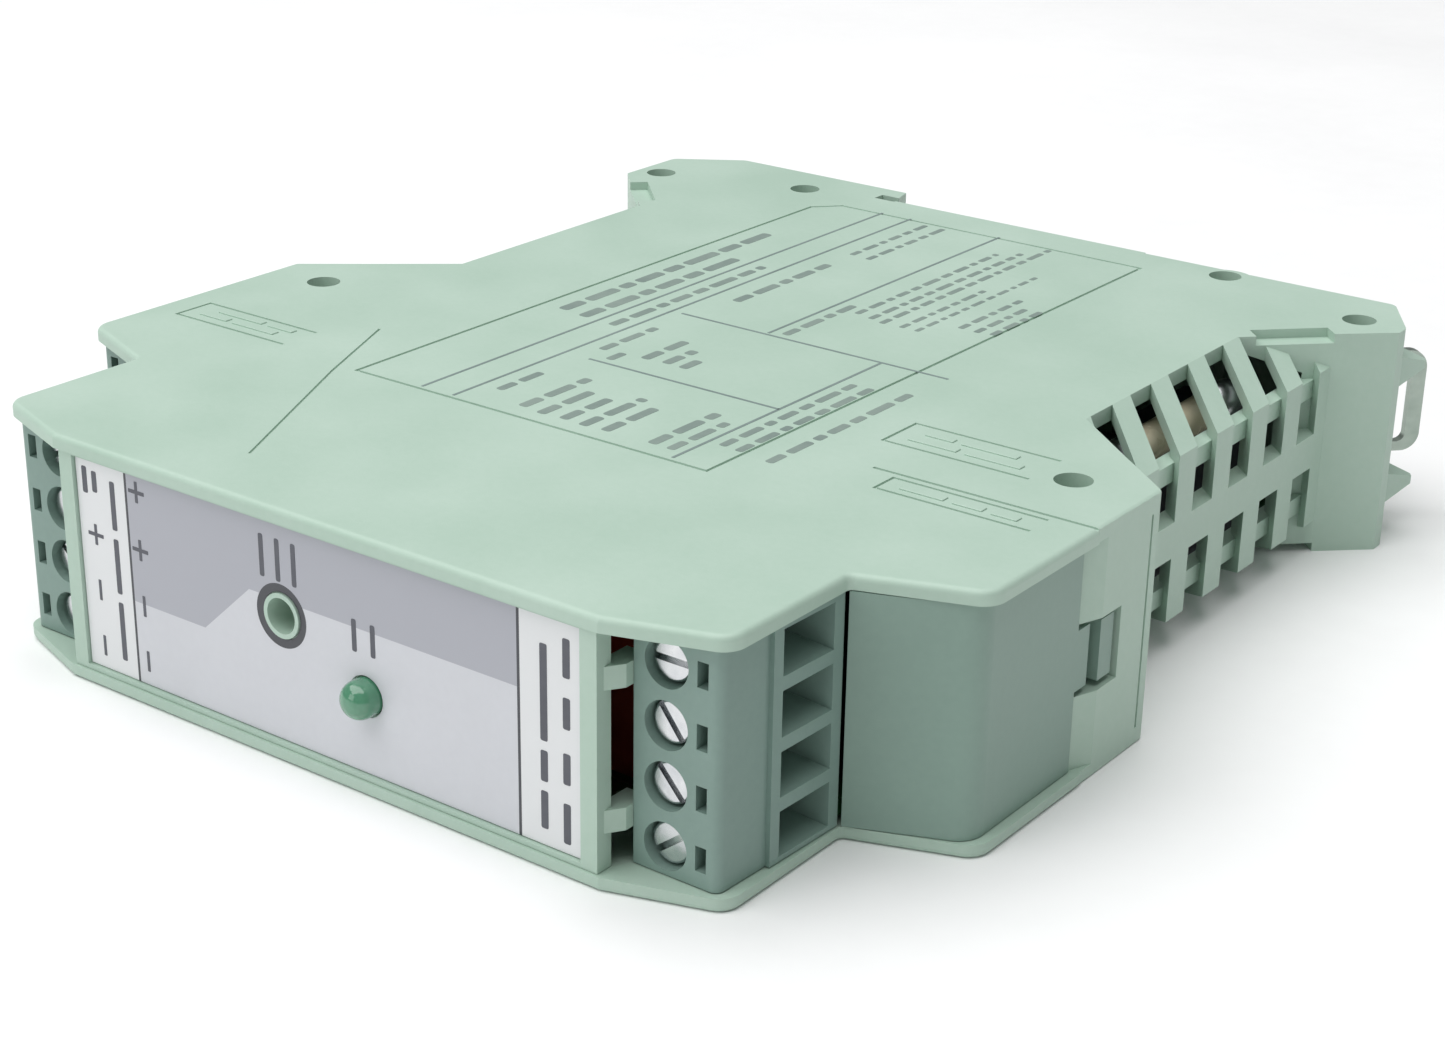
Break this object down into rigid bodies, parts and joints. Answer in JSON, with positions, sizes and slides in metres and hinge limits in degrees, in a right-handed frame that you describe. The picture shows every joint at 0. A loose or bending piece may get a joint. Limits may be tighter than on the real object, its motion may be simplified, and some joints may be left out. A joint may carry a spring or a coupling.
{
  "type": "din rail power supply",
  "caption": "Slim DIN rail power supply in a pale green plastic housing with pluggable screw terminals, louvred vents and a sprung metal foot latch.",
  "frame": {"origin": "centre of the bounding box in X and Y, bottom face of the lower side plate in Z", "axes": "+X along the module's mounted height, towards the input end; +Y from the labelled front towards the rail; +Z through the 22.5 mm module width"},
  "size_m": [0.099, 0.115, 0.0225],
  "materials": {
    "housing_plastic": "fine matt moulded polyamide, pale sage green",
    "terminal_plastic": "fine matt moulded polyamide, sage green, slightly deeper",
    "label_film": "satin film, grey blue and light grey fields on white",
    "green_lens": "clear green moulded light pipe, glossy",
    "component_blue": "blue moulded trimmer case",
    "component_white": "white trimmer rotor",
    "latch_steel": "passivated zinc plated sheet steel, greenish grey",
    "spring_steel": "drawn spring wire",
    "board_laminate": "green solder resist on glass laminate",
    "ferrite": "dark sintered ferrite",
    "winding_tape": "yellow polyester winding tape",
    "component_black": "black moulded component cases and sleeves",
    "heat_sink_aluminium": "plain extruded aluminium",
    "component_red": "red dipped film capacitor case",
    "component_cream": "cream glazed ceramic",
    "screw_nickel": "bright nickel plated screw",
    "cage_nickel": "nickel plated clamping cage",
    "contact_tin": "tin plated copper alloy"
  },
  "bodies": {
    "housing": {"upper_shell": "housing_plastic", "lower_shell": "housing_plastic", "assembly_pins": "housing_plastic", "front_frame": "housing_plastic", "blanking_cover": "housing_plastic", "front_label": "label_film", "led_lens": "green_lens", "indicator_led": "green_lens", "trimmer_body": "component_blue", "latch_spring": "spring_steel", "circuit_board": "board_laminate", "transformer_core": "ferrite", "transformer_winding": "winding_tape", "bulk_capacitor": "component_black", "output_capacitors": "component_black", "heat_sink": "heat_sink_aluminium", "power_transistor": "component_black", "line_filter": "component_black", "film_capacitor": "component_red", "ceramic_fuse": "component_cream", "optocoupler": "component_black", "header_output": "terminal_plastic", "header_pins_output": "contact_tin", "header_signal": "terminal_plastic", "header_pins_signal": "contact_tin", "header_input": "terminal_plastic", "header_pins_input": "contact_tin"},
    "trimmer": {"trimmer_rotor": "component_white"},
    "latch": {"foot_latch": "latch_steel"},
    "output_plug": {"plug_output": "terminal_plastic", "contacts_output": "contact_tin"},
    "output_screw_1": {"screw_output_1": "screw_nickel"},
    "output_cage_1": {"cage_output_1": "cage_nickel"},
    "output_screw_2": {"screw_output_2": "screw_nickel"},
    "output_cage_2": {"cage_output_2": "cage_nickel"},
    "output_screw_3": {"screw_output_3": "screw_nickel"},
    "output_cage_3": {"cage_output_3": "cage_nickel"},
    "output_screw_4": {"screw_output_4": "screw_nickel"},
    "output_cage_4": {"cage_output_4": "cage_nickel"},
    "signal_plug": {"plug_signal": "terminal_plastic", "contacts_signal": "contact_tin"},
    "signal_screw_1": {"screw_signal_1": "screw_nickel"},
    "signal_cage_1": {"cage_signal_1": "cage_nickel"},
    "signal_screw_2": {"screw_signal_2": "screw_nickel"},
    "signal_cage_2": {"cage_signal_2": "cage_nickel"},
    "signal_screw_3": {"screw_signal_3": "screw_nickel"},
    "signal_cage_3": {"cage_signal_3": "cage_nickel"},
    "signal_screw_4": {"screw_signal_4": "screw_nickel"},
    "signal_cage_4": {"cage_signal_4": "cage_nickel"},
    "input_plug": {"plug_input": "terminal_plastic", "contacts_input": "contact_tin"},
    "input_screw_1": {"screw_input_1": "screw_nickel"},
    "input_cage_1": {"cage_input_1": "cage_nickel"},
    "input_screw_2": {"screw_input_2": "screw_nickel"},
    "input_cage_2": {"cage_input_2": "cage_nickel"},
    "input_screw_3": {"screw_input_3": "screw_nickel"},
    "input_cage_3": {"cage_input_3": "cage_nickel"},
    "input_screw_4": {"screw_input_4": "screw_nickel"},
    "input_cage_4": {"cage_input_4": "cage_nickel"}
  },
  "joints": [
    {"name": "trimmer_turn", "type": "hinge", "parent": "housing", "child": "trimmer", "pos_m": [-0.0035, -0.0494, 0.013], "axis": [0, 1, 0], "range_deg": [-135, 135]},
    {"name": "latch_slide", "type": "slide", "parent": "housing", "child": "latch", "axis": [1, 0, 0], "range_m": [0, 0.0035], "stiffness_N_per_m": 900, "springref_m": -0.004, "deforming": ["latch_spring"]},
    {"name": "output_plug_pull", "type": "slide", "parent": "housing", "child": "output_plug", "axis": [0, -1, 0], "range_m": [0, 0.014]},
    {"name": "output_screw_turn_1", "type": "hinge", "parent": "output_plug", "child": "output_screw_1", "pos_m": [-0.0332, -0.0479, 0.01875], "axis": [0, 1, 0], "range_deg": [0, 1081]},
    {"name": "output_cage_lift_1", "type": "slide", "parent": "output_plug", "child": "output_cage_1", "axis": [0, -1, 0], "range_m": [0, 0.0015]},
    {"name": "output_screw_turn_2", "type": "hinge", "parent": "output_plug", "child": "output_screw_2", "pos_m": [-0.0332, -0.0479, 0.01375], "axis": [0, 1, 0], "range_deg": [0, 1081]},
    {"name": "output_cage_lift_2", "type": "slide", "parent": "output_plug", "child": "output_cage_2", "axis": [0, -1, 0], "range_m": [0, 0.0015]},
    {"name": "output_screw_turn_3", "type": "hinge", "parent": "output_plug", "child": "output_screw_3", "pos_m": [-0.0332, -0.0479, 0.00875], "axis": [0, 1, 0], "range_deg": [0, 1081]},
    {"name": "output_cage_lift_3", "type": "slide", "parent": "output_plug", "child": "output_cage_3", "axis": [0, -1, 0], "range_m": [0, 0.0015]},
    {"name": "output_screw_turn_4", "type": "hinge", "parent": "output_plug", "child": "output_screw_4", "pos_m": [-0.0332, -0.0479, 0.00375], "axis": [0, 1, 0], "range_deg": [0, 1081]},
    {"name": "output_cage_lift_4", "type": "slide", "parent": "output_plug", "child": "output_cage_4", "axis": [0, -1, 0], "range_m": [0, 0.0015]},
    {"name": "signal_plug_pull", "type": "slide", "parent": "housing", "child": "signal_plug", "axis": [0, -1, 0], "range_m": [0, 0.014]},
    {"name": "signal_screw_turn_1", "type": "hinge", "parent": "signal_plug", "child": "signal_screw_1", "pos_m": [-0.0436, -0.0296, 0.01875], "axis": [0, 1, 0], "range_deg": [0, 1081]},
    {"name": "signal_cage_lift_1", "type": "slide", "parent": "signal_plug", "child": "signal_cage_1", "axis": [0, -1, 0], "range_m": [0, 0.0015]},
    {"name": "signal_screw_turn_2", "type": "hinge", "parent": "signal_plug", "child": "signal_screw_2", "pos_m": [-0.0436, -0.0296, 0.01375], "axis": [0, 1, 0], "range_deg": [0, 1081]},
    {"name": "signal_cage_lift_2", "type": "slide", "parent": "signal_plug", "child": "signal_cage_2", "axis": [0, -1, 0], "range_m": [0, 0.0015]},
    {"name": "signal_screw_turn_3", "type": "hinge", "parent": "signal_plug", "child": "signal_screw_3", "pos_m": [-0.0436, -0.0296, 0.00875], "axis": [0, 1, 0], "range_deg": [0, 1081]},
    {"name": "signal_cage_lift_3", "type": "slide", "parent": "signal_plug", "child": "signal_cage_3", "axis": [0, -1, 0], "range_m": [0, 0.0015]},
    {"name": "signal_screw_turn_4", "type": "hinge", "parent": "signal_plug", "child": "signal_screw_4", "pos_m": [-0.0436, -0.0296, 0.00375], "axis": [0, 1, 0], "range_deg": [0, 1081]},
    {"name": "signal_cage_lift_4", "type": "slide", "parent": "signal_plug", "child": "signal_cage_4", "axis": [0, -1, 0], "range_m": [0, 0.0015]},
    {"name": "input_plug_pull", "type": "slide", "parent": "housing", "child": "input_plug", "axis": [0, -1, 0], "range_m": [0, 0.014]},
    {"name": "input_screw_turn_1", "type": "hinge", "parent": "input_plug", "child": "input_screw_1", "pos_m": [0.0332, -0.0479, 0.01875], "axis": [0, 1, 0], "range_deg": [0, 1081]},
    {"name": "input_cage_lift_1", "type": "slide", "parent": "input_plug", "child": "input_cage_1", "axis": [0, -1, 0], "range_m": [0, 0.0015]},
    {"name": "input_screw_turn_2", "type": "hinge", "parent": "input_plug", "child": "input_screw_2", "pos_m": [0.0332, -0.0479, 0.01375], "axis": [0, 1, 0], "range_deg": [0, 1081]},
    {"name": "input_cage_lift_2", "type": "slide", "parent": "input_plug", "child": "input_cage_2", "axis": [0, -1, 0], "range_m": [0, 0.0015]},
    {"name": "input_screw_turn_3", "type": "hinge", "parent": "input_plug", "child": "input_screw_3", "pos_m": [0.0332, -0.0479, 0.00875], "axis": [0, 1, 0], "range_deg": [0, 1081]},
    {"name": "input_cage_lift_3", "type": "slide", "parent": "input_plug", "child": "input_cage_3", "axis": [0, -1, 0], "range_m": [0, 0.0015]},
    {"name": "input_screw_turn_4", "type": "hinge", "parent": "input_plug", "child": "input_screw_4", "pos_m": [0.0332, -0.0479, 0.00375], "axis": [0, 1, 0], "range_deg": [0, 1081]},
    {"name": "input_cage_lift_4", "type": "slide", "parent": "input_plug", "child": "input_cage_4", "axis": [0, -1, 0], "range_m": [0, 0.0015]}
  ],
  "couplings": [
    {"joint": "output_screw_turn_1", "follows": "output_cage_lift_1", "rad_per_m": 12566},
    {"joint": "output_screw_turn_2", "follows": "output_cage_lift_2", "rad_per_m": 12566},
    {"joint": "output_screw_turn_3", "follows": "output_cage_lift_3", "rad_per_m": 12566},
    {"joint": "output_screw_turn_4", "follows": "output_cage_lift_4", "rad_per_m": 12566},
    {"joint": "signal_screw_turn_1", "follows": "signal_cage_lift_1", "rad_per_m": 12566},
    {"joint": "signal_screw_turn_2", "follows": "signal_cage_lift_2", "rad_per_m": 12566},
    {"joint": "signal_screw_turn_3", "follows": "signal_cage_lift_3", "rad_per_m": 12566},
    {"joint": "signal_screw_turn_4", "follows": "signal_cage_lift_4", "rad_per_m": 12566},
    {"joint": "input_screw_turn_1", "follows": "input_cage_lift_1", "rad_per_m": 12566},
    {"joint": "input_screw_turn_2", "follows": "input_cage_lift_2", "rad_per_m": 12566},
    {"joint": "input_screw_turn_3", "follows": "input_cage_lift_3", "rad_per_m": 12566},
    {"joint": "input_screw_turn_4", "follows": "input_cage_lift_4", "rad_per_m": 12566}
  ]
}
